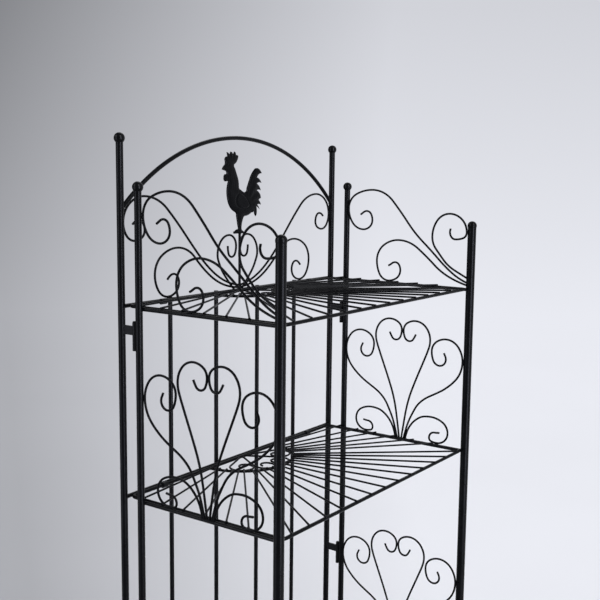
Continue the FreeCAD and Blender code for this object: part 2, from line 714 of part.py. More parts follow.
FRONT_END = PANEL_SPAN - leg(FRONT_R + S.weld_gap, FRONT_POST_X - SIDE_WIRE_X)
REAR_STOP = REAR_Y - REAR_TOUCH
FRONT_STOP = REAR_Y - FRONT_TOUCH
top_large = (
    (FRONT_END, 0.062 * S.top_scroll_height, 160),
    (*top_scroll(0.77, 0.284), 136),
    (*top_scroll(0.522, 0.654), 128),
    (*top_scroll(0.225, 1.0), 180),
    (REAR_STOP, 0.792 * S.top_scroll_height, 270),
    (*top_scroll(0.15, 0.565), 360),
    (*top_scroll(0.227, 0.669), 450),
    (*top_scroll(0.18, 0.768), 540),
    (*top_scroll(0.128, 0.728), 575),
)
top_low = (
    (FRONT_END, 0.036 * S.top_scroll_height, 166),
    (*top_scroll(0.735, 0.225), 138),
    (*top_scroll(0.45, 0.467), 180),
    (*top_scroll(0.272, 0.235), 270),
    (0.37 * PANEL_SPAN, RAIL_TOUCH - RIM_LIFT, 360),
    (*top_scroll(0.467, 0.141), 450),
    (*top_scroll(0.425, 0.225), 540),
    (*top_scroll(0.37, 0.185), 565),
)
top_front = (
    (FRONT_END, 0.111 * S.top_scroll_height, 154),
    (*top_scroll(0.805, 0.284), 131),
    (*top_scroll(0.714, 0.526), 90),
    (*top_scroll(0.845, 0.768), 0),
    (FRONT_STOP, 0.58 * S.top_scroll_height, -90),
    (*top_scroll(0.89, 0.505), -180),
    (*top_scroll(0.848, 0.58), -270),
    (*top_scroll(0.852, 0.615), -275),
)

left_side = [
    (rear_post, "rear_post"),
    (front_post, "front_post"),
    (group("side_finials_group", [
        link(thin_finial, "rear_finial", "-" + WIDE, "Sizes.rear_y", REAR_TOP),
        link(thick_finial, "front_finial", "-Sizes.front_post_x", "Sizes.front_y", FRONT_TOP),
    ]), "side_finials"),
    (group("side_feet_group", [
        link(thin_foot, "rear_foot", "-" + WIDE, "Sizes.rear_y"),
        link(thick_foot, "front_foot", "-Sizes.front_post_x", "Sizes.front_y"),
    ]), "side_feet"),
    (group("side_rails_group", [
        link(side_rail, f"side_rail_{i + 1}", z=f"Sizes.lowest_rail_height + {level(i)}")
        for i in range(SHELF_COUNT)
    ]), "side_rails"),
]
for i in range(FAN_LEVELS):
    fan_group = group(f"fan_group_{i + 1}", fan_wires,
                      z=f"Sizes.lowest_rail_height + {level(i)}")
    left_side.append((fan_group, f"fan_{i + 1}"))
for name, stops in (("large", top_large), ("low", top_low), ("front", top_front)):
    whole = swept_wire(f"top_{name}_wire", "Sizes.scroll_dia", bent_path(stops, on_side))
    ended = cut(f"top_{name}_coped", whole, panel_copes)
    raised = group(f"top_{name}_group", [ended], z="Sizes.top_z")
    left_side.append((raised, f"top_scroll_{name}"))
for obj, label in left_side:
    right = mirrored(obj, f"{obj.Name}_right")
    node(obj, f"left_{label}")
    node(right, f"right_{label}")

# ---------------------------------------------------------------- side hinges
# Each pin stands in a knuckle on the back post; sleeves above and below the knuckle are
# welded behind the side panel's rear post and turn on the pin. Origin: the knuckle's
# middle, with the back post towards +Y.
knuckle = doc.addObject("PartDesign::Body", "hinge_plate")
barrel_profile = sketch_on(knuckle, "knuckle_section", "XY_Plane")
add_circle(barrel_profile, "Sizes.barrel_dia / 2", BARREL_R)
barrel_pad = knuckle.newObject("PartDesign::Pad", "knuckle_pad")
barrel_pad.Profile = barrel_profile
barrel_pad.Midplane = True
barrel_pad.setExpression("Length", "Sizes.knuckle_height")
plate_profile = sketch_on(knuckle, "plate_section", "XY_Plane")
HALF_PLATE = "Sizes.plate_thickness / 2"
PLATE_START = "Sizes.pin_dia / 2"
PLATE_END = "Sizes.back_y - Sizes.pin_y - Sizes.thin_post_dia / 2 - Sizes.weld_gap"
add_outline(plate_profile, (
    (HALF_PLATE, PLATE_START),
    (HALF_PLATE, PLATE_END),
    ("-" + HALF_PLATE, PLATE_END),
    ("-" + HALF_PLATE, PLATE_START),
))
plate_pad = knuckle.newObject("PartDesign::Pad", "plate_pad")
plate_pad.Profile = plate_profile
plate_pad.Midplane = True
plate_pad.setExpression("Length", "Sizes.knuckle_height")
bore_profile = sketch_on(knuckle, "bore_section", "XY_Plane")
add_circle(bore_profile, "Sizes.pin_dia / 2", S.pin_dia / 2)
bore = knuckle.newObject("PartDesign::Pocket", "knuckle_bore")
bore.Profile = bore_profile
bore.Midplane = True
bore.Type = "ThroughAll"


def sleeve(name, length, bottom):
    outer = place(cylinder(name + "_outer", "Sizes.barrel_dia", length), z=bottom)
    hollow_dia = "Sizes.pin_dia + 2 * Sizes.running_gap"
    hollow = place(cylinder(name + "_bore", hollow_dia, length), z=bottom)
    return cut(name, outer, hollow)


UPPER_BOTTOM = "Sizes.knuckle_height / 2 + Sizes.end_gap"
LOWER_BOTTOM = "-(Sizes.knuckle_height / 2 + Sizes.end_gap + Sizes.lower_sleeve)"
upper_sleeve = sleeve("upper_sleeve", "Sizes.upper_sleeve", UPPER_BOTTOM)
lower_sleeve = sleeve("lower_sleeve", "Sizes.lower_sleeve", LOWER_BOTTOM)

HEAD_BOTTOM = f"{UPPER_BOTTOM} + Sizes.upper_sleeve + Sizes.end_gap"
pin_shank = cylinder("pin_shank", "Sizes.pin_dia",
                     f"{HEAD_BOTTOM} - ({LOWER_BOTTOM}) + Sizes.pin_head_height / 2")
place(pin_shank, z=LOWER_BOTTOM)
pin_head = cylinder("pin_head", "Sizes.pin_head_dia", "Sizes.pin_head_height")
place(pin_head, z=HEAD_BOTTOM)
hinge_pin = fuse("hinge_pin", [pin_shank, pin_head])

plates, pins = [], []
for side, sign in (("left", "-"), ("right", "")):
    sleeves = []
    for i in range(HINGES_PER_SIDE):
        middle = (f"Sizes.top_z - Sizes.{side}_hinge_drop - Sizes.upper_sleeve"
                  f" - Sizes.end_gap - Sizes.knuckle_height / 2 - Sizes.hinge_spacing * {i}")
        spot = (sign + WIDE, "Sizes.pin_y", middle)
        tag = f"{side}_{i + 1}"
        plates.append(link(knuckle, "plate_" + tag, *spot))
        pins.append(link(hinge_pin, "pin_" + tag, *spot))
        sleeves.append(link(upper_sleeve, "upper_" + tag, *spot))
        sleeves.append(link(lower_sleeve, "lower_" + tag, *spot))
    node(group(f"sleeves_{side}", sleeves), f"{side}_hinge_sleeves")
node(group("hinge_plates_group", plates), "hinge_plates")
node(group("hinge_pins_group", pins), "hinge_pins")

# ---------------------------------------------------------------- shelves
# Built at the height of the rim's axis, which is also the axis of the back rail.


def on_shelf(across, forward):
    return Vector(across, PIVOT_Y - forward, 0)


def rim_stops():
    """Half of the rim from the middle of the back bar round to the middle of the front."""
    side, depth, bend = RIM_X, SHELF_DEPTH, S.rim_corner
    return (
        (0, 0, 0), (side - bend, 0, 0), (side, bend, 90),
        (side, depth - bend, 90), (side - bend, depth, 180), (0, depth, 180),
    )


right_half = rim_stops()
left_half = tuple((-across, forward, 360 - turn) for across, forward, turn in
                  reversed(right_half))
rim_edges = bent_path(right_half, on_shelf) + bent_path(left_half, on_shelf)
rim = swept_wire("rim", "Sizes.rim_dia", rim_edges)
rim_cope = swept_wire("rim_cope", "Sizes.rim_dia", rim_edges, "Sizes.weld_gap")

back_bar_cope = cylinder("back_bar_cope", f"Sizes.rim_dia + {GAP_DIA}",
                         "Sizes.panel_width", along=Vector(1, 0, 0))
place(back_bar_cope, "-" + WIDE, "Sizes.pivot_y")

# The half ring lies flush with the top of the rim; the rays are let into both.
RING_RAISE = RIM_R - RING_R


def on_ring(across, forward):
    return on_shelf(across, forward) + Vector(0, 0, RING_RAISE)


ring_edges = bent_path((
    (S.ring_radius, 0, 90), (0, S.ring_radius, 180), (-S.ring_radius, 0, 270),
), on_ring)
ring = cut("ring", swept_wire("ring_bow", "Sizes.ring_dia", ring_edges), back_bar_cope)
ring_cope = swept_wire("ring_cope", "Sizes.ring_dia", ring_edges, "Sizes.weld_gap")
ray_copes = fuse("ray_copes", [rim_cope, ring_cope])


def ray(name, across, forward):
    """A ray through a point of the rim, in line with the middle of the back bar. It starts
    on the half ring and ends flush with the front bar or just clear of the side wires."""
    direction = Vector(across, -forward, 0).normalize()
    aside, ahead = abs(direction.x), -direction.y
    reach = (SHELF_DEPTH + RIM_R - RAY_R * aside) / ahead
    if aside:
        reach = min(reach, (RAY_END_X - RAY_R * ahead) / aside)
    first = S.ring_radius - RING_R / 2
    start = on_shelf(0, 0) + direction * first + Vector(0, 0, RAY_RAISE)
    bar = cylinder(name + "_bar", "Sizes.ray_dia", reach - first, start, direction)
    return cut(name, bar, ray_copes)


rays = [
    ray(f"front_ray_{k + FRONT_RAYS_EACH_WAY + 1}", k * S.front_ray_pitch, SHELF_DEPTH)
    for k in range(-FRONT_RAYS_EACH_WAY, FRONT_RAYS_EACH_WAY + 1)
]
for side, sign in (("left", -1), ("right", 1)):
    rays += [
        ray(f"{side}_ray_{k + 1}", sign * RIM_X, S.first_side_ray + k * S.side_ray_pitch)
        for k in range(SIDE_RAYS)
    ]

LACE_REACH = S.ring_radius - RING_R - LACE_R - S.weld_gap


def lace(across, forward):
    return across * LACE_REACH, forward * LACE_REACH


def touch_ring(degrees):
    """A stop where a lace wire runs along the inside of the half ring."""
    c, s = heading(degrees)
    return LACE_REACH * c, LACE_REACH * s, degrees + 90


lace_outer = (
    (1.6 * S.lace_dia, 0, 24),
    (*lace(0.67, 0.24), 20),
    touch_ring(38),
    (*lace(0.585, 0.71), 180),
    (*lace(0.4, 0.49), 270),
    (*lace(0.52, 0.365), 360),
    (*lace(0.63, 0.47), 450),
)
lace_inner = (
    (0.6 * S.lace_dia, 0, 60),
    (*lace(0.385, 0.62), 62),
    touch_ring(74),
    (*lace(0.05, 0.77), 270),
    (*lace(0.17, 0.635), 360),
    (*lace(0.28, 0.745), 450),
)
lace_wires = [ring]
for name, stops in (("outer", lace_outer), ("inner", lace_inner)):
    whole = swept_wire(f"lace_{name}_wire", "Sizes.lace_dia", bent_path(stops, on_ring))
    right_hand = cut(f"lace_{name}_right", whole, back_bar_cope)
    lace_wires += [right_hand, mirrored(right_hand, f"lace_{name}_left")]

for i in range(SHELF_COUNT):
    height = f"Sizes.shelf_z + {level(i)}"
    for part_name, members in (("rim", [rim]), ("rays", rays), ("lace", lace_wires)):
        shelf_part = group(f"shelf_{i + 1}_{part_name}_group", members, z=height)
        node(shelf_part, f"shelf_{i + 1}_{part_name}")

# Straps on the back rails: each is a ring round the rim's back bar, opened towards the
# rail, with its two legs shaped to the rail.
eye_bore_dia = "Sizes.rim_dia + 2 * Sizes.running_gap"
eye_outer = cylinder("eye_outer", f"{eye_bore_dia} + 2 * Sizes.eye_wall", "Sizes.eye_width",
                     along=Vector(1, 0, 0))
eye_bore = cylinder("eye_bore", eye_bore_dia, "Sizes.eye_width", along=Vector(1, 0, 0))
eye_ring = cut("eye_ring", eye_outer, eye_bore)
eye_mouth = doc.addObject("Part::Box", "eye_mouth")
eye_mouth.setExpression("Length", "Sizes.eye_width")
eye_mouth.setExpression("Width", "Sizes.rim_dia + Sizes.eye_wall")
eye_mouth.setExpression("Height", "Sizes.rim_dia * 0.6")
place(eye_mouth, z="-Sizes.rim_dia * 0.3")
eye_rail = cylinder("eye_rail", f"Sizes.back_rail_dia + {GAP_DIA}", "Sizes.eye_width",
                    along=Vector(1, 0, 0))
place(eye_rail, y="Sizes.back_y - Sizes.pivot_y")
eye = cut("eye", cut("eye_open", eye_ring, eye_mouth), eye_rail)
node(group("shelf_straps_group", [
    link(eye, f"eye_{side}_{i + 1}", f"{sign}Sizes.eye_offset - Sizes.eye_width / 2",
         "Sizes.pivot_y", f"Sizes.shelf_z + {level(i)}")
    for i in range(SHELF_COUNT) for side, sign in (("left", "-"), ("right", ""))
]), "shelf_straps")

# ---------------------------------------------------------------- check and write
doc.recompute()
for obj in doc.Objects:
    if {"Invalid", "Error"} & set(obj.State):
        raise RuntimeError(f"{obj.Label} is {obj.State}")
for obj in NODES:
    if obj.Shape.isNull() or not obj.Shape.isValid() or not obj.Shape.Solids:
        raise RuntimeError(f"{obj.Label} has no valid solid")

os.makedirs("parts", exist_ok=True)
total_volume = 0.0
for obj in NODES:
    obj.Shape.exportStep(os.path.join("parts", obj.Label + ".step"))
    total_volume += obj.Shape.Volume
print(f"{len(NODES)} nodes, {sum(len(o.Shape.Solids) for o in NODES)} solids, "
      f"{total_volume / 1000:.1f} cm3")
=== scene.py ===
import json
import math

import bmesh
import bpy
import numpy as np
from mathutils import Matrix, Vector, noise
from mathutils.bvhtree import BVHTree
from mathutils.geometry import delaunay_2d_cdt

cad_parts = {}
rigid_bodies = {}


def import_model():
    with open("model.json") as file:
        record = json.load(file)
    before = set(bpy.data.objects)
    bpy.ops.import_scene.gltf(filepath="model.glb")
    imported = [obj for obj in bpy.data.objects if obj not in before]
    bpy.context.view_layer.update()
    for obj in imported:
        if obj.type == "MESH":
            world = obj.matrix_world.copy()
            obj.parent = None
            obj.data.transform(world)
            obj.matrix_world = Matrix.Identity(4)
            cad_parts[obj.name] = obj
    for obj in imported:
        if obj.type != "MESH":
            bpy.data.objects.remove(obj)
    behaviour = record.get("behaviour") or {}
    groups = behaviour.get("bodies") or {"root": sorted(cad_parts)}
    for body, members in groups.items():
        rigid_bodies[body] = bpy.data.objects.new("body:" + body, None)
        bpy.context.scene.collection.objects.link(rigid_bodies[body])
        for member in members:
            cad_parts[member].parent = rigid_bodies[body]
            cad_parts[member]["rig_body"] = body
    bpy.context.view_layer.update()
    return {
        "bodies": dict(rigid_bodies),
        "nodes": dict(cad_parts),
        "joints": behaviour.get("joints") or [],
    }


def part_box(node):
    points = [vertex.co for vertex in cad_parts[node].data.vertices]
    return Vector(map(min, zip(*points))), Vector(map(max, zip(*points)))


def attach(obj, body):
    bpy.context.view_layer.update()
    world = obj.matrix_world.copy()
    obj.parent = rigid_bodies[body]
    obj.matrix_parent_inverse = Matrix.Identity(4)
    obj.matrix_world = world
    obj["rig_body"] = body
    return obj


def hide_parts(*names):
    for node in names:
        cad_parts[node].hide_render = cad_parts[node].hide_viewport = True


# Folding bakers rack: black satin powder coat on tube and wire, a cast rooster, weld beads
# where the wires meet, on a pale studio floor. Metres. +Z is up and the front faces -Y.

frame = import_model()

MM = 0.001


# ---------------------------------------------------------------- materials
class Nodes:
    """A node tree, with short ways to add and join nodes."""

    def __init__(self, tree):
        self.tree = tree

    def add(self, kind, **settings):
        node = self.tree.nodes.new(kind)
        for key, value in settings.items():
            setattr(node, key, value)
        return node

    def join(self, output, target):
        self.tree.links.new(output, target)

    def spread(self, value, start, end, low, high):
        """A number from low to high as value goes from start to end, held beyond them."""
        spread = self.add("ShaderNodeMapRange")
        for socket, number in (("From Min", start), ("From Max", end),
                               ("To Min", low), ("To Max", high)):
            spread.inputs[socket].default_value = number
        self.join(value, spread.inputs["Value"])
        return spread.outputs["Result"]

    def sum(self, *values):
        total = values[0]
        for value in values[1:]:
            plus = self.add("ShaderNodeMath", operation="ADD")
            self.join(total, plus.inputs[0])
            self.join(value, plus.inputs[1])
            total = plus.outputs["Value"]
        return total

    def along(self, vector, axis):
        """How far a vector output reaches along a fixed axis."""
        dot = self.add("ShaderNodeVectorMath", operation="DOT_PRODUCT")
        self.join(vector, dot.inputs[0])
        dot.inputs[1].default_value = axis
        return dot.outputs["Value"]

    def unit(self, vector):
        unit = self.add("ShaderNodeVectorMath", operation="NORMALIZE")
        self.join(vector, unit.inputs[0])
        return unit.outputs["Vector"]

    def mixed(self, share, kind, first, second):
        mix = self.add("ShaderNodeMixShader")
        self.join(share, mix.inputs["Fac"])
        self.join(first.outputs[kind], mix.inputs[1])
        self.join(second.outputs["Emission" if kind == "BSDF" else kind], mix.inputs[2])
        return mix.outputs["Shader"]


class Shader(Nodes):
    """A material's node tree round its Principled surface."""

    def __init__(self, name):
        self.material = bpy.data.materials.new(name)
        self.material.use_nodes = True
        super().__init__(self.material.node_tree)
        self.surface = self.tree.nodes["Principled BSDF"]
        self.place = self.add("ShaderNodeTexCoord").outputs["Object"]

    def noise(self, scale, detail=2.0):
        """Noise over the surface."""
        texture = self.add("ShaderNodeTexNoise")
        texture.inputs["Scale"].default_value = scale
        texture.inputs["Detail"].default_value = detail
        self.join(self.place, texture.inputs["Vector"])
        return texture.outputs["Fac"]

    def ramp(self, value, low, high, start=0.35, end=0.65):
        """Colours or greys from low to high as value goes from start to end."""
        ramp = self.add("ShaderNodeValToRGB")
        for element, place, shade in zip(ramp.color_ramp.elements, (start, end), (low, high)):
            element.position = place
            element.color = (*shade, 1) if hasattr(shade, "__len__") else (shade,) * 3 + (1,)
        self.join(value, ramp.inputs["Fac"])
        return ramp.outputs["Color"]

    def bump(self, *layers):
        """Bumps laid over each other: pairs of a height output and its depth in metres."""
        normal = None
        for height, depth in layers:
            bump = self.add("ShaderNodeBump")
            bump.inputs["Distance"].default_value = depth
            self.join(height, bump.inputs["Height"])
            if normal:
                self.join(normal, bump.inputs["Normal"])
            normal = bump.outputs["Normal"]
        self.join(normal, self.surface.inputs["Normal"])


# A noise scale counts waves in a metre.
BLACK = (0.0012, 0.0014, 0.0021)
SOFT_BLACK = (0.0030, 0.0034, 0.0047)
SCUFFED = (0.018, 0.018, 0.019)
FINE_PEEL_SCALE, BROAD_PEEL_SCALE, BROAD_PEEL_SHARE = 620.0, 170.0, 1.6
SATIN_SCALE_SHARE = 2.3


def powder_coat(name, rough, specular, peel=0.006 * MM, mottle=35.0):
    """Black stoved powder: a faint mottle, orange peel and a satin that varies a little."""
    shader = Shader(name)
    shader.join(shader.ramp(shader.noise(mottle, 4.0), BLACK, SOFT_BLACK),
                shader.surface.inputs["Base Color"])
    shader.join(shader.ramp(shader.noise(mottle * SATIN_SCALE_SHARE, 3.0), *rough),
                shader.surface.inputs["Roughness"])
    shader.surface.inputs["Specular IOR Level"].default_value = specular
    shader.bump((shader.noise(FINE_PEEL_SCALE, 1.0), peel),
                (shader.noise(BROAD_PEEL_SCALE, 2.0), peel * BROAD_PEEL_SHARE))
    return shader.material


def foot_plastic():
    """Moulded plastic: matt, with a fine spark-eroded grain and scuffs at the floor."""
    shader = Shader("foot_plastic")
    shader.join(shader.ramp(shader.noise(60.0, 4.0), BLACK, SCUFFED),
                shader.surface.inputs["Base Color"])
    shader.join(shader.ramp(shader.noise(250.0, 2.0), 0.55, 0.75),
                shader.surface.inputs["Roughness"])
    shader.surface.inputs["Specular IOR Level"].default_value = 0.3
    shader.bump((shader.noise(1500.0, 1.0), 0.04 * MM))
    return shader.material


finishes = {
    "painted_tube": powder_coat("painted_tube", (0.26, 0.34), 0.10),
    "scroll_wire": powder_coat("scroll_wire", (0.30, 0.40), 0.07),
    "shelf_wire": powder_coat("shelf_wire", (0.30, 0.40), 0.07),
    "rooster_paint": powder_coat("rooster_paint", (0.20, 0.28), 0.07, 0.02 * MM, 90.0),
    "hinge_steel": powder_coat("hinge_steel", (0.38, 0.50), 0.16, 0.05 * MM, 80.0),
    "foot_plastic": foot_plastic(),
}

for name, node in frame["nodes"].items():
    for holder in node.material_slots:
        slot_name = holder.material.name.split(".")[0]
        holder.material = finishes[slot_name]


# ---------------------------------------------------------------- new pieces
def piece(name, points, faces, body, slot):
    """A mesh piece in the row frame that rides on a body and takes a slot's finish."""
    mesh = bpy.data.meshes.new(name)
    mesh.from_pydata([tuple(p) for p in points], [], faces)
    mesh.validate()
    mesh.polygons.foreach_set("use_smooth", [True] * len(mesh.polygons))
    mesh.materials.append(finishes[slot])
    obj = bpy.data.objects.new(name, mesh)
    bpy.context.scene.collection.objects.link(obj)
    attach(obj, body)
    return obj


# ---------------------------------------------------------------- rooster
# The cast rooster keeps the outline and thickness of its solid. Places on it are in
# millimetres right of the perch and above it.
ROOSTER_STEP = 0.9
ROOSTER_ROUNDING = 12.0
ROOSTER_EDGE = 0.5
WING_MIDDLE = (8.0, 58.9)
WING_HALF = (21.0, 12.3)
WING_TURN = math.radians(22)
TAIL_ROOT = (18.0, 53.5)
TAIL_FEATHERS = 13.0
NECK_BASE, NECK_TOP = 64.2, 122.2
HACKLE_WAVE = 1.15
EYE = (-35.0, 128.1)
EYE_RADIUS = 2.2
COMB_BASE, COMB_CLEAR = 133.5, 137.8
WATTLE_TOP, WATTLE_BACK = 116.9, 33.0

# Reliefs on the rooster, as shares of its half thickness.
SWELL = 0.84
WING_RISE, WING_LINE, QUILL_RISE = 0.20, 0.20, 0.05
HACKLE_RISE, SICKLE_RISE = 0.022, 0.13
COMB_DROP, WATTLE_DROP = 0.22, 0.18
EYE_LINE, EYE_RISE = 0.14, 0.10
THINNEST = 0.12


def front_outline(node):
    """The ordered outline of a plate's front face, as (x, z) in metres."""
    mesh = node.data
    front = min(v.co.y for v in mesh.vertices)
    key = {}
    corners = []

    def index(vertex):
        place = (round(vertex.co.x, 7), round(vertex.co.z, 7))
        if place not in key:
            key[place] = len(corners)
            corners.append(place)
        return key[place]

    uses = {}
    for face in mesh.polygons:
        ring = [mesh.vertices[i] for i in face.vertices]
        if any(abs(v.co.y - front) > 1e-6 for v in ring):
            continue
        ids = [index(v) for v in ring]
        for a, b in zip(ids, ids[1:] + ids[:1]):
            uses[(a, b)] = True
    following = {a: b for a, b in uses if (b, a) not in uses}
    start = next(iter(following))
    order = [start]
    while following[order[-1]] != start:
        order.append(following[order[-1]])
    return np.array([corners[i] for i in order])


def resampled(outline, step):
    """The outline with its edges cut to about one step, corners kept."""
    points = []
    for a, b in zip(outline, np.roll(outline, -1, axis=0)):
        count = max(1, round(np.linalg.norm(b - a) / step))
        points += [a + (b - a) * i / count for i in range(count)]
    return np.array(points)


def distance_to_outline(points, outline):
    nearest = np.full(len(points), np.inf)
    for a, b in zip(outline, np.roll(outline, -1, axis=0)):
        edge = b - a
        share = np.clip((points - a) @ edge / max(edge @ edge, 1e-12), 0, 1)
        gap = np.linalg.norm(points - a - share[:, None] * edge, axis=1)
        nearest = np.minimum(nearest, gap)
    return nearest


def inside(points, outline):
    crossings = np.zeros(len(points), int)
    for a, b in zip(outline, np.roll(outline, -1, axis=0)):
        spans = (a[1] > points[:, 1]) != (b[1] > points[:, 1])
        rise = b[1] - a[1] if b[1] != a[1] else 1.0
        meets = a[0] + (points[:, 1] - a[1]) / rise * (b[0] - a[0])
        crossings += spans & (points[:, 0] < meets)
    return crossings % 2 == 1


def smooth_step(value, low, high):
    share = np.clip((value - low) / (high - low), 0, 1)
    return share * share * (3 - 2 * share)


def rooster_relief(x, z, depth):
    """Share of the plate's half thickness at places x, z that lie depth inside the edge."""
    round_share = np.clip(depth / ROOSTER_ROUNDING, 0, 1)
    swell = np.sqrt(1 - (1 - round_share) ** 2)
    height = SWELL * swell
    # Wing: a raised drop with a dark line round it and quills towards its tip.
    across, up = x - WING_MIDDLE[0], z - WING_MIDDLE[1]
    c, s = math.cos(WING_TURN), math.sin(WING_TURN)
    along, over = (across * c - up * s) / WING_HALF[0], (across * s + up * c) / WING_HALF[1]
    taper = 1.0 - 0.38 * np.clip(along, -1, 1)
    wing = 1 - np.sqrt(along ** 2 + (over / taper) ** 2)
    height += WING_RISE * smooth_step(wing, 0.0, 0.28)
    height -= WING_LINE * np.exp(-(wing / 0.08) ** 2)
    quills = np.cos((over * 3.2 + 0.5 * along) * math.pi)
    height += QUILL_RISE * quills * smooth_step(wing, 0.1, 0.3) * smooth_step(along, -0.3, 0.3)
    # Neck hackles: long grooves that run down from the head.
    lean = -20.0 + 0.26 * (NECK_TOP - z) - 0.0016 * (NECK_TOP - z) ** 2
    neck = smooth_step(z, NECK_BASE, NECK_BASE + 14) * (1 - smooth_step(z, NECK_TOP - 6, NECK_TOP))
    height += HACKLE_RISE * neck * np.cos((x - lean) * HACKLE_WAVE)
    # Tail sickles: grooves that fan out from the root of the tail.
    reach = np.hypot(x - TAIL_ROOT[0], z - TAIL_ROOT[1])
    angle = np.arctan2(z - TAIL_ROOT[1], x - TAIL_ROOT[0])
    tail = smooth_step(reach, 17.0, 26.0) * smooth_step(x, 18.0, 27.0)
    height += SICKLE_RISE * tail * np.cos(angle * TAIL_FEATHERS + 0.02 * reach)
    # Head: comb and wattle lie lower than the cheek, and the eye stands out.
    height -= COMB_DROP * smooth_step(z, COMB_BASE, COMB_CLEAR)
    wattle = smooth_step(-x, WATTLE_BACK, WATTLE_BACK + 3) * smooth_step(WATTLE_TOP - z, 0.0, 4.3)
    height -= WATTLE_DROP * wattle * smooth_step(z, 90.0, 96.4)
    eye = np.hypot(x - EYE[0], z - EYE[1]) / EYE_RADIUS
    height -= EYE_LINE * np.exp(-((eye - 1.25) / 0.28) ** 2)
    height += EYE_RISE * smooth_step(-eye, -1.0, -0.2)
    return np.clip(height, THINNEST, 1.0) * smooth_step(depth, -0.2, 1.2)


def make_rooster():
    node = frame["nodes"]["rooster"]
    low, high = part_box("rooster")
    middle_y = (low.y + high.y) / 2
    half = (high.y - low.y) / 2
    perch_low, perch_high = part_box("rooster_perch")
    origin = np.array([(perch_low.x + perch_high.x) / 2, perch_high.z])
    outline = (front_outline(node) - origin) / MM
    rim = resampled(outline, ROOSTER_STEP)
    lows, highs = outline.min(0), outline.max(0)
    columns = np.arange(lows[0], highs[0], ROOSTER_STEP)
    rows = np.arange(lows[1], highs[1], ROOSTER_STEP * 0.866)
    grid = np.array([
        (x + (0.5 * ROOSTER_STEP if k % 2 else 0.0), z) for k, z in enumerate(rows) for x in columns
    ])
    grid = grid[inside(grid, outline)]
    grid = grid[distance_to_outline(grid, outline) > 0.55 * ROOSTER_STEP]
    flat = np.vstack([rim, grid])
    count = len(rim)
    ring = [(i, (i + 1) % count) for i in range(count)]
    made = delaunay_2d_cdt([Vector(p) for p in flat], ring, [], 1, 1e-5)
    places = np.array([tuple(p) for p in made[0]])
    depth = distance_to_outline(places, outline)
    on_rim = depth < 1e-3
    faces = [tuple(f) for f in made[2]]
    height = rooster_relief(places[:, 0], places[:, 1], depth) * (half / MM - ROOSTER_EDGE)
    height = np.where(on_rim, 0.0, height) + ROOSTER_EDGE
    x = origin[0] + places[:, 0] * MM
    z = origin[1] + places[:, 1] * MM
    front = np.column_stack([x, middle_y - height * MM, z])
    back = np.column_stack([x, middle_y + height * MM, z])
    total = len(places)
    sheets = [f if is_front(f, places) else f[::-1] for f in faces]
    skin = sheets + [tuple(i + total for i in reversed(f)) for f in sheets]
    edge_uses = {}
    for f in sheets:
        for a, b in zip(f, f[1:] + f[:1]):
            edge_uses[(a, b)] = True
    for a, b in edge_uses:
        if (b, a) not in edge_uses:
            skin.append((b, a, a + total, b + total))
    rooster = piece("rooster_casting", np.vstack([front, back]), skin, "back_frame", "rooster_paint")
    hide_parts("rooster")


def is_front(face, places):
    """Whether a face, seen from -Y, runs anticlockwise."""
    a, b, c = (places[i] for i in face[:3])
    return (b[0] - a[0]) * (c[1] - a[1]) - (b[1] - a[1]) * (c[0] - a[0]) > 0


make_rooster()


# ---------------------------------------------------------------- weld beads
# A bead lies over each patch where two pieces of one body come within a weld's reach.
NOT_WELDED = ("finials", "feet", "hinge_pins")
WELD_REACH = 0.28 * MM
SAMPLE_STEP = 1.2 * MM
PATCH_GAP = 2.4 * MM
BEAD_MARGIN = 0.85 * MM
BEAD_SINK = 0.65 * MM
ROW_FROM = 9.0 * MM
ROW_STEP = 4.2 * MM
ROW_LIMIT = 26.0 * MM
BEAD_CLEARANCE = 0.12 * MM
TURN_STEPS = 8
LUMP = 0.14


class Solid:
    """One closed solid of a node: its corners, its triangles and a search tree."""

    def __init__(self, body, points, triangles):
        self.body = body
        self.low, self.high = points.min(0), points.max(0)
        self.tree = BVHTree.FromPolygons(points.tolist(), triangles.tolist())
        edges = np.vstack([triangles[:, (0, 1)], triangles[:, (1, 2)], triangles[:, (2, 0)]])
        edges = np.unique(np.sort(edges, axis=1), axis=0)
        starts, runs = points[edges[:, 0]], points[edges[:, 1]] - points[edges[:, 0]]
        cuts = np.ceil(np.linalg.norm(runs, axis=1) / SAMPLE_STEP).astype(int)
        which = np.repeat(np.arange(len(edges)), np.maximum(cuts - 1, 0))
        first = np.repeat(np.cumsum(np.maximum(cuts - 1, 0)) - np.maximum(cuts - 1, 0),
                          np.maximum(cuts - 1, 0))
        share = (np.arange(len(which)) - first + 1) / cuts[which]
        self.samples = np.vstack([points, starts[which] + runs[which] * share[:, None]])

    def near(self, low, high, margin):
        return bool(np.all(self.low < high + margin) and np.all(self.high > low - margin))


def solids_of(node, body):
    """The separate solids of a node's mesh, found by the corners that they share."""
    mesh = node.data
    points = np.empty(len(mesh.vertices) * 3)
    mesh.vertices.foreach_get("co", points)
    points = points.reshape(-1, 3)
    corners = np.empty(len(mesh.loops), int)
    mesh.loops.foreach_get("vertex_index", corners)
    merged, same = np.unique(np.round(points * 1e6).astype(int), axis=0, return_inverse=True)
    triangles = same.reshape(-1)[corners].reshape(-1, 3)
    group = np.arange(len(merged))
    while True:
        before = group.copy()
        least = group[triangles].min(1)
        for k in range(3):
            np.minimum.at(group, triangles[:, k], least)
        group = group[group]
        if np.array_equal(before, group):
            break
    found = []
    for label in np.unique(group[triangles[:, 0]]):
        chosen = triangles[group[triangles[:, 0]] == label]
        used, local = np.unique(chosen, return_inverse=True)
        found.append(Solid(body, merged[used] * 1e-6, local.reshape(-1, 3)))
    return found


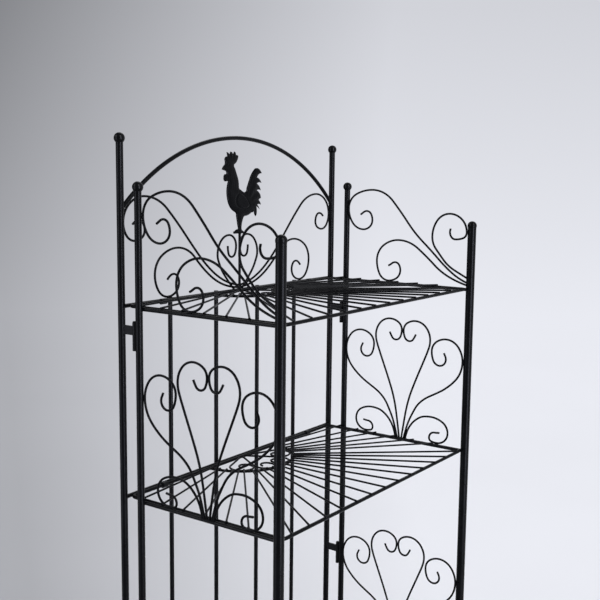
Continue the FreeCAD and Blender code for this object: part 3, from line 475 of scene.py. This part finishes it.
def touches(a, b):
    """Places midway between two solids within a weld's reach, with the way across."""
    hits = []
    for one, other in ((a, b), (b, a)):
        inside_box = np.all((one.samples > other.low - WELD_REACH)
                            & (one.samples < other.high + WELD_REACH), axis=1)
        for point in one.samples[inside_box]:
            place, facing, index, gap = other.tree.find_nearest(point, WELD_REACH)
            if place is not None:
                hits.append((*((np.array(place) + point) / 2), *facing))
    return np.array(hits)


def patches(hits):
    """Groups of hits with no wider gap between them."""
    left = list(range(len(hits)))
    while left:
        front, members = [left.pop(0)], []
        while front:
            members += front
            rest = np.array(left, int)
            if not len(rest):
                break
            apart = np.linalg.norm(hits[rest][:, None, :3] - hits[front][None, :, :3], axis=2)
            front = [int(i) for i in rest[apart.min(1) < PATCH_GAP]]
            left = [i for i in left if i not in set(front)]
        yield hits[members]


def bead_template():
    mesh = bpy.data.meshes.new("bead")
    shape = bmesh.new()
    bmesh.ops.create_icosphere(shape, subdivisions=3, radius=1.0)
    shape.to_mesh(mesh)
    shape.free()
    points = np.array([tuple(v.co) for v in mesh.vertices])
    faces = np.array([tuple(f.vertices) for f in mesh.polygons])
    bpy.data.meshes.remove(mesh)
    return points, faces


def turns_of(body):
    """The turns of a body about its own joint, from one limit to the other."""
    joints = [j for j in frame["joints"] if j["child"] == body]
    if not joints:
        return [Matrix.Identity(4)]
    pivot = Matrix.Translation(joints[0]["pos_m"])
    angles = np.radians(np.linspace(*joints[0]["range_deg"], TURN_STEPS + 1))
    return [pivot @ Matrix.Rotation(angle, 4, Vector(joints[0]["axis"])) @ pivot.inverted()
            for angle in angles]


def bead(centre, axes, radii, turns, others):
    """A lumpy bead that stays clear of other bodies' solids while its own body turns."""
    points = BEAD_POINTS.copy()
    for i, p in enumerate(points):
        seed = Vector(p) * 1.1 + Vector(centre) * 300.0
        points[i] = p * (1 + LUMP * noise.noise(seed))
    points = centre + (points * radii) @ axes
    for turn in turns:
        moved = np.array(turn @ Vector(centre))
        for other in others:
            if not other.near(moved - radii.max(), moved + radii.max(), BEAD_MARGIN):
                continue
            for i, p in enumerate(points):
                here = turn @ Vector(p)
                place, facing, index, gap = other.tree.find_nearest(here, 2 * BEAD_MARGIN)
                if place is not None and (here - place).dot(facing) < BEAD_CLEARANCE:
                    points[i] = turn.inverted() @ (place + facing * BEAD_CLEARANCE)
    return points


def beads_between(a, b, turns, others):
    hits = touches(a, b)
    for patch in patches(hits):
        across = patch[:, 3:]
        across = (across * np.sign(across @ across[0])[:, None]).mean(0)
        if np.linalg.norm(across) < 0.2:
            continue
        across /= np.linalg.norm(across)
        spread = patch[:, :3] - patch[:, :3].mean(0)
        flat = spread - np.outer(spread @ across, across)
        along = np.linalg.eigh(flat.T @ flat)[1][:, 2]
        along = along - across * (along @ across)
        along /= np.linalg.norm(along)
        axes = np.array([along, np.cross(across, along), across])
        place = patch[:, :3] @ axes.T
        low, high = place.min(0), place.max(0)
        half = (high - low) / 2 + (BEAD_MARGIN, BEAD_MARGIN, BEAD_SINK)
        middle = (low + high) / 2
        count = 1
        length = high[0] - low[0]
        if length > ROW_FROM:
            length = min(length, ROW_LIMIT)
            count = math.ceil(length / ROW_STEP)
            half[0] = 0.8 * ROW_STEP
            if high[0] - low[0] > ROW_LIMIT:
                low_end = place[np.argmin(patch[:, 2])][0] == low[0]
                middle[0] = low[0] + length / 2 if low_end else high[0] - length / 2
        for k in range(count):
            spot = middle.copy()
            if count > 1:
                spot[0] += length * ((k + 0.5) / count - 0.5)
            yield bead(spot @ axes, axes, half, turns, others)


def make_welds():
    solids = []
    for body in frame["bodies"]:
        for name, node in frame["nodes"].items():
            if node["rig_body"] == body and not any(word in name for word in NOT_WELDED):
                solids += solids_of(node, body)
    for body in frame["bodies"]:
        own = [s for s in solids if s.body == body]
        others = [s for s in solids if s.body != body]
        turns = turns_of(body)
        points = []
        for i, a in enumerate(own):
            for b in own[i + 1:]:
                if a.near(b.low, b.high, WELD_REACH):
                    points += list(beads_between(a, b, turns, others))
        faces = np.vstack([BEAD_FACES + i * len(BEAD_POINTS) for i in range(len(points))])
        slot = "shelf_wire" if body.startswith("shelf") else "painted_tube"
        piece(f"welds_{body}", np.vstack(points), faces.tolist(), body, slot)


BEAD_POINTS, BEAD_FACES = bead_template()
make_welds()


# ---------------------------------------------------------------- floor, light, camera
FLOOR_HALF = 40.0
FLOOR_FADE = (2.0, 9.0)
TINT = (0.965, 0.980, 1.050)
# Painted light: the backdrop and the floor are paler towards one side and darker higher up, a
# painted falloff of the studio light.
PAINTED_LIT_SIDE = (0.914, -0.407, 0.0)
TONE_CENTRE = (-1.4, -1.0, 1.5)
# Painted light falloff: where the tone starts and ends along a direction, and its values there.
PAINTED_FALLOFF_ACROSS = (0.22, 0.575, 0.43, 0.845)
PAINTED_FALLOFF_UPWARDS = (-0.13, 0.17, 0.0, -0.18)
WORLD_LIGHT = 0.55


def backdrop(nodes, direction):
    """The backdrop's colour in a direction, with painted light: paler towards one side and lower
    down.
    """
    tone = nodes.sum(nodes.spread(nodes.along(direction, PAINTED_LIT_SIDE), *PAINTED_FALLOFF_ACROSS),
                     nodes.spread(nodes.along(direction, (0, 0, 1)), *PAINTED_FALLOFF_UPWARDS))
    tinted = nodes.add("ShaderNodeVectorMath", operation="SCALE")
    tinted.inputs[0].default_value = TINT
    nodes.join(tone, tinted.inputs["Scale"])
    return tinted.outputs["Vector"]


def make_floor():
    """A wide pale floor that turns into the backdrop far away; near and far, its colour carries the
    backdrop's painted light falloff.
    """
    corners = [(-1, -1), (1, -1), (1, 1), (-1, 1)]
    mesh = bpy.data.meshes.new("studio_floor")
    mesh.from_pydata([(FLOOR_HALF * x, FLOOR_HALF * y, 0.0) for x, y in corners], [], [(0, 1, 2, 3)])
    floor = bpy.data.objects.new("studio_floor", mesh)
    bpy.context.scene.collection.objects.link(floor)
    shader = Shader("studio_floor")
    away = shader.add("ShaderNodeVectorMath", operation="SUBTRACT")
    shader.join(shader.place, away.inputs[0])
    away.inputs[1].default_value = TONE_CENTRE
    # Painted light: the floor's base colour and its far glow take the painted falloff, measured from
    # a fixed place.
    tone = backdrop(shader, shader.unit(away.outputs["Vector"]))
    grain = shader.add("ShaderNodeVectorMath", operation="MULTIPLY")
    shader.join(tone, grain.inputs[0])
    shader.join(shader.ramp(shader.noise(0.6), 0.93, 0.96), grain.inputs[1])
    shader.join(grain.outputs["Vector"], shader.surface.inputs["Base Color"])
    shader.surface.inputs["Roughness"].default_value = 0.9
    shader.surface.inputs["Specular IOR Level"].default_value = 0.0
    far = shader.add("ShaderNodeEmission")
    shader.join(tone, far.inputs["Color"])
    reach = shader.add("ShaderNodeVectorMath", operation="LENGTH")
    shader.join(shader.place, reach.inputs[0])
    fade = shader.spread(reach.outputs["Value"], *FLOOR_FADE, 0.0, 1.0)
    shader.join(shader.mixed(fade, "BSDF", shader.surface, far),
                shader.tree.nodes["Material Output"].inputs["Surface"])
    mesh.materials.append(shader.material)


def make_world():
    """Even light all round; seen directly, in gloss or through glass it is the backdrop with its
    painted light falloff.
    """
    world = bpy.data.worlds.new("studio")
    bpy.context.scene.world = world
    world.use_nodes = True
    nodes = Nodes(world.node_tree)
    light = world.node_tree.nodes["Background"]
    light.inputs["Color"].default_value = (1, 1, 1, 1)
    light.inputs["Strength"].default_value = WORLD_LIGHT
    seen = nodes.add("ShaderNodeBackground")
    direction = nodes.add("ShaderNodeTexCoord").outputs["Generated"]
    nodes.join(backdrop(nodes, direction), seen.inputs["Color"])
    path = nodes.add("ShaderNodeLightPath").outputs
    shown = nodes.sum(path["Is Camera Ray"], path["Is Glossy Ray"], path["Is Transmission Ray"])
    nodes.join(nodes.mixed(shown, "Background", light, seen),
               world.node_tree.nodes["World Output"].inputs["Surface"])


SUNS = (
    # name, azimuth and height of where it stands, strength, breadth; degrees from +Y
    ("key", 195.0, 40.0, 1.3, 20.0),
    ("side", 308.0, 35.0, 0.8, 30.0),
    ("back", 60.0, 45.0, 0.5, 40.0),
)

SOFTBOXES = (
    # name, azimuth and distance of where it stands, width and height in metres, power
    ("tall_right", 195.0, 2.8, 0.8, 3.0, 85.0),
    ("tall_left", 294.0, 2.6, 0.7, 3.0, 28.0),
)
SOFTBOX_TINT = (0.92, 0.95, 1.12)


def make_softboxes():
    """Tall boxes beside the camera that only draw highlights down the posts."""
    for name, azimuth, distance, width, height, power in SOFTBOXES:
        data = bpy.data.lights.new(name, "AREA")
        data.shape = "RECTANGLE"
        data.size, data.size_y = width, height
        data.energy = power
        data.color = SOFTBOX_TINT
        box = bpy.data.objects.new(name, data)
        angle = math.radians(azimuth)
        box.location = (distance * math.sin(angle), distance * math.cos(angle), height / 2)
        box.rotation_euler = (math.radians(90), 0, math.radians(180) - angle)
        box.visible_camera = False
        box.visible_diffuse = False
        bpy.context.scene.collection.objects.link(box)


def make_suns():
    for name, azimuth, height, strength, breadth in SUNS:
        data = bpy.data.lights.new(name, "SUN")
        data.energy = strength
        data.angle = math.radians(breadth)
        sun = bpy.data.objects.new(name, data)
        sun.rotation_euler = (math.radians(90 - height), 0, math.radians(180 - azimuth))
        bpy.context.scene.collection.objects.link(sun)


# The camera stands in front of the left panel, a little above the rooster, and looks
# towards the back right post.
CAMERA_PLACE = (-1.37441, -0.96460, 1.55565)
CAMERA_AZIMUTH = 54.30
CAMERA_ELEVATION = 7.34
CAMERA_ROLL = 0.61
CAMERA_LENS = 56.63


def make_camera():
    data = bpy.data.cameras.new("camera")
    data.sensor_width = 36.0
    data.lens = CAMERA_LENS
    data.clip_end = 200.0
    camera = bpy.data.objects.new("camera", data)
    bpy.context.scene.collection.objects.link(camera)
    camera.matrix_world = (
        Matrix.Translation(CAMERA_PLACE)
        @ Matrix.Rotation(-math.radians(CAMERA_AZIMUTH), 4, "Z")
        @ Matrix.Rotation(math.radians(90 - CAMERA_ELEVATION), 4, "X")
        @ Matrix.Rotation(math.radians(CAMERA_ROLL), 4, "Z")
    )
    bpy.context.scene.camera = camera


make_floor()
make_world()
make_suns()
make_softboxes()
make_camera()
bpy.context.scene.view_settings.view_transform = "Standard"
